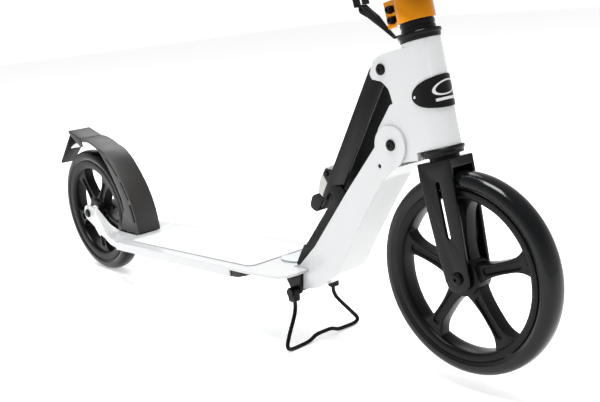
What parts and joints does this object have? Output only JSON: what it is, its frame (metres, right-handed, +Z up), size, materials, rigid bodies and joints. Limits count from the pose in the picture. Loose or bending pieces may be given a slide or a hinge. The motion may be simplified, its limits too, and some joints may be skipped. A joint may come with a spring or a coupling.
{
  "type": "kick scooter",
  "caption": "Folding kick scooter with a deck, braced folding neck, steering column, large wheels, fender brake and centre stand.",
  "frame": {"origin": "centre of the bounding box in plan, on the floor that the rear tyre and the stand's feet stand on", "axes": "+X forward, the way the scooter rides; +Y to the rider's left; +Z up"},
  "size_m": [1.039, 0.4788, 0.9857],
  "materials": {
    "black_paint": "satin",
    "black_plastic": "matte",
    "tyre": "matte",
    "black_rubber": "matte",
    "gold_anodised": "anodised",
    "bare_alloy": "cast",
    "steel": "plated",
    "grey_rubber": "matte",
    "alloy_white": "painted",
    "alloy_black": "painted",
    "webbing": "woven"
  },
  "bodies": {
    "frame": {"deck": "alloy_white", "deck_plug_left": "black_plastic", "deck_plug_right": "black_plastic", "deck_grip_pad": "grey_rubber", "stem_rest_pad": "grey_rubber", "rear_stay_left": "alloy_white", "rear_stay_right": "alloy_white", "rear_axle": "steel", "fender_pin": "steel", "neck": "alloy_white", "fold_bolt": "black_paint", "strut_channel": "alloy_black", "stand_bracket_left": "alloy_black", "stand_bracket_right": "alloy_black", "stand_pin": "steel"},
    "head": {"head_shell": "alloy_white", "headset_cup_lower": "alloy_black", "headset_cup_upper": "alloy_black", "headset_bearing_lower": "steel", "headset_bearing_upper": "steel", "badge": "black_plastic", "strut_bolt": "black_paint"},
    "strut": {"strut": "alloy_black", "strut_foot_pin": "steel", "latch_pin": "steel"},
    "latch": {"latch_lever": "bare_alloy", "latch_knob": "black_rubber"},
    "steering": {"fork": "alloy_black", "front_axle": "steel", "headset_nut": "alloy_black", "column": "alloy_white", "column_clamp": "gold_anodised", "clamp_bolt_lower": "steel", "clamp_bolt_upper": "steel", "strap_hook": "black_plastic", "strap_strand_front": "webbing", "strap_strand_rear": "webbing", "strap_ring": "black_plastic", "quick_release_clamp": "alloy_black", "quick_release_bolt": "steel"},
    "handle": {"handle_post": "alloy_white", "crossbar": "alloy_black", "grip_left": "black_rubber", "grip_right": "black_rubber"},
    "release_lever": {"quick_release_lever": "black_plastic"},
    "front_wheel": {"front_rim": "black_plastic", "front_tyre": "tyre", "front_bearing_left": "steel", "front_bearing_right": "steel"},
    "rear_wheel": {"rear_rim": "black_plastic", "rear_tyre": "tyre", "rear_bearing_left": "steel", "rear_bearing_right": "steel"},
    "fender": {"fender": "black_plastic", "fender_tail": "black_plastic", "mud_flap": "black_rubber", "brake_plate": "steel"},
    "stand": {"stand_wire": "black_paint", "stand_knuckle_left": "black_plastic", "stand_knuckle_right": "black_plastic"}
  },
  "joints": [
    {"name": "fold", "type": "hinge", "parent": "frame", "child": "head", "pos_m": [0.32206, 0, 0.27567], "axis": [0, -1, 0], "range_deg": [0, 65]},
    {"name": "strut_swing", "type": "hinge", "parent": "head", "child": "strut", "pos_m": [0.31049, 0, 0.35611], "axis": [0, -1, 0], "range_deg": [-75, 2]},
    {"name": "latch_lift", "type": "hinge", "parent": "strut", "child": "latch", "pos_m": [0.20607, 0, 0.2325], "axis": [0, 1, 0], "range_deg": [0, 25], "stiffness_Nm_per_rad": 0.6, "springref_deg": -11.46},
    {"name": "steer", "type": "hinge", "parent": "head", "child": "steering", "pos_m": [0.40454, 0, 0.13525], "axis": [-0.2131, 0, 0.977], "range_deg": [-60, 60]},
    {"name": "front_spin", "type": "hinge", "parent": "steering", "child": "front_wheel", "pos_m": [0.40454, 0, 0.13525], "axis": [0, 1, 0], "continuous": true},
    {"name": "rear_spin", "type": "hinge", "parent": "frame", "child": "rear_wheel", "pos_m": [-0.41203, 0, 0.10769], "axis": [0, 1, 0], "continuous": true},
    {"name": "handle_height", "type": "slide", "parent": "steering", "child": "handle", "axis": [-0.2131, 0, 0.977], "range_m": [-0.11, 0.09]},
    {"name": "release", "type": "hinge", "parent": "steering", "child": "release_lever", "pos_m": [0.25032, 0.015, 0.70139], "axis": [-0.2131, 0, 0.977], "range_deg": [0, 105]},
    {"name": "brake", "type": "hinge", "parent": "frame", "child": "fender", "pos_m": [-0.27138, 0, 0.08264], "axis": [0, -1, 0], "range_deg": [0, 4], "stiffness_Nm_per_rad": 12, "springref_deg": -8.59},
    {"name": "stand_fold", "type": "hinge", "parent": "frame", "child": "stand", "pos_m": [0.14398, 0, 0.07333], "axis": [0, 1, 0], "range_deg": [0, 90]}
  ],
  "couplings": [
    {"joint": "strut_swing", "follows": "fold", "ratio": -0.974}
  ]
}
